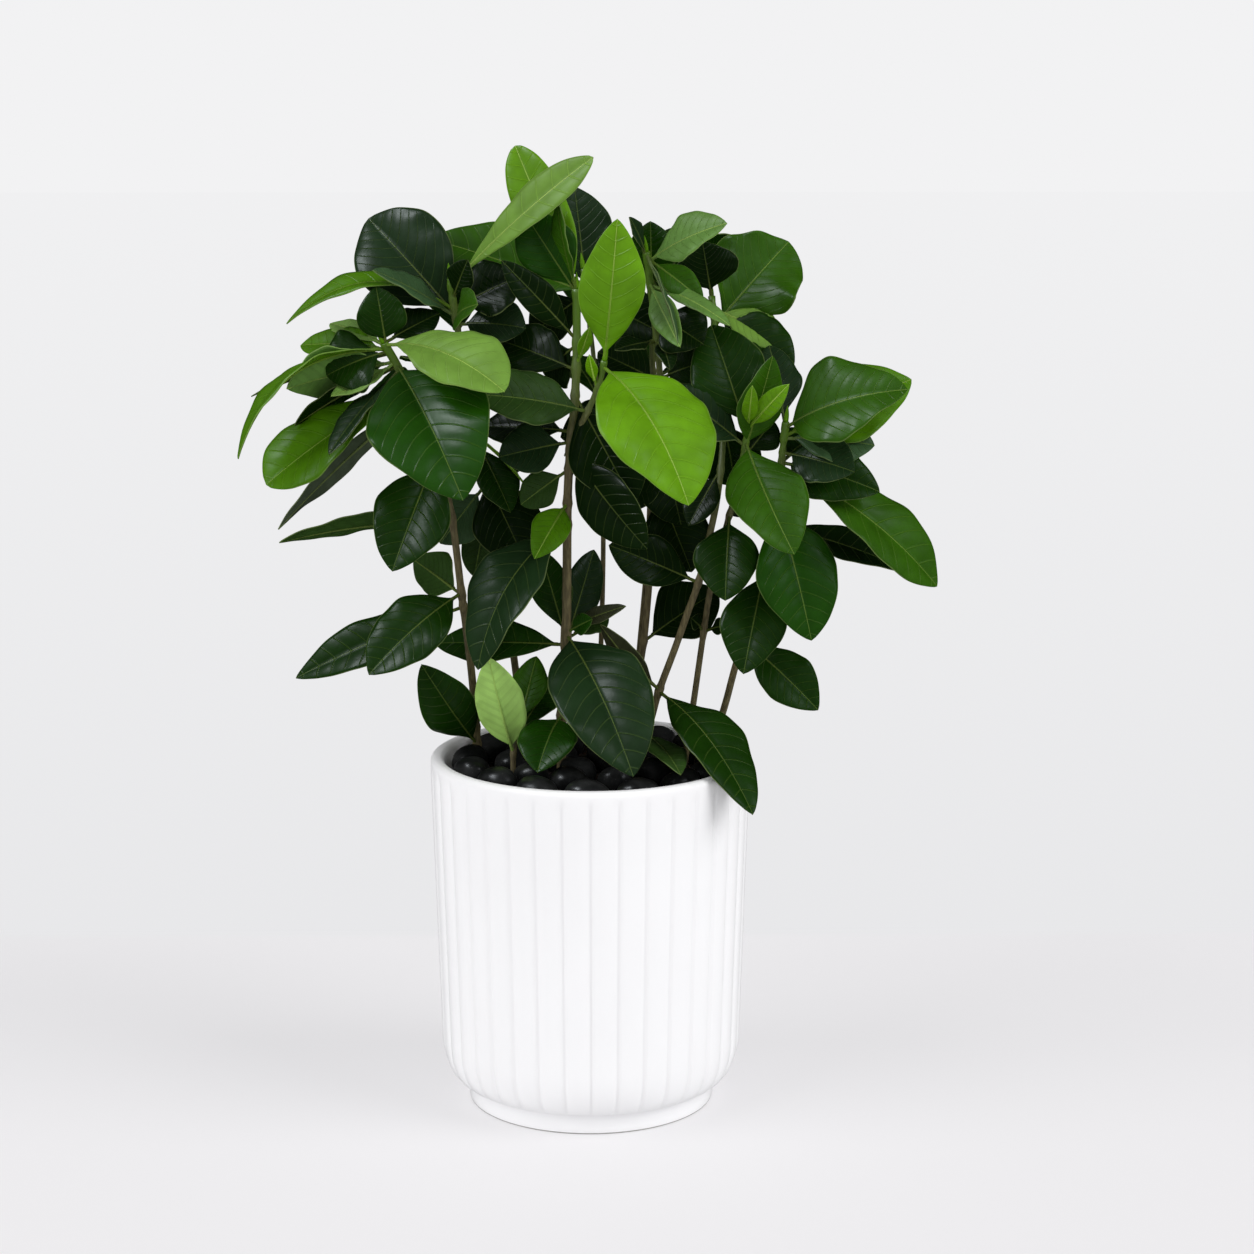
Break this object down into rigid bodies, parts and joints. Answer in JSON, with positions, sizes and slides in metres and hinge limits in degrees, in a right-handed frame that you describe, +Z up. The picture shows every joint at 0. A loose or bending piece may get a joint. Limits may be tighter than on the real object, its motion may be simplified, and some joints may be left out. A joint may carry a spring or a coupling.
{
  "type": "potted gardenia",
  "caption": "Leafy evergreen shrub on several woody stems, standing in a round ribbed glazed pot with dark river pebbles on its soil.",
  "frame": {"origin": "centre of the pot's flat underside, on the pot's axis", "axes": "+Z up along the pot's axis, -Y towards the plant's front, +X to the right as seen from the front"},
  "size_m": [0.33, 0.2035, 0.464],
  "materials": {
    "glaze": "gloss",
    "soil": "matte",
    "pebble": "satin",
    "foliage": "satin"
  },
  "bodies": {
    "root": {"pot": "glaze", "soil": "soil", "pebble_01": "pebble", "pebble_02": "pebble", "pebble_03": "pebble", "pebble_04": "pebble", "pebble_05": "pebble", "pebble_06": "pebble", "pebble_07": "pebble", "pebble_08": "pebble", "pebble_09": "pebble", "pebble_10": "pebble", "pebble_11": "pebble", "pebble_12": "pebble", "pebble_13": "pebble", "pebble_14": "pebble", "pebble_15": "pebble", "pebble_16": "pebble", "pebble_17": "pebble", "pebble_18": "pebble", "pebble_19": "pebble", "pebble_20": "pebble", "pebble_21": "pebble", "pebble_22": "pebble", "pebble_23": "pebble", "pebble_24": "pebble", "pebble_25": "pebble", "pebble_26": "pebble", "pebble_27": "pebble", "pebble_28": "pebble", "stem_left": "foliage", "stem_left_back": "foliage", "stem_low": "foliage", "stem_centre": "foliage", "stem_thin": "foliage", "stem_middle": "foliage", "stem_right": "foliage", "stem_right_front": "foliage", "stem_far_right": "foliage", "stem_back": "foliage"}
  },
  "joints": []
}
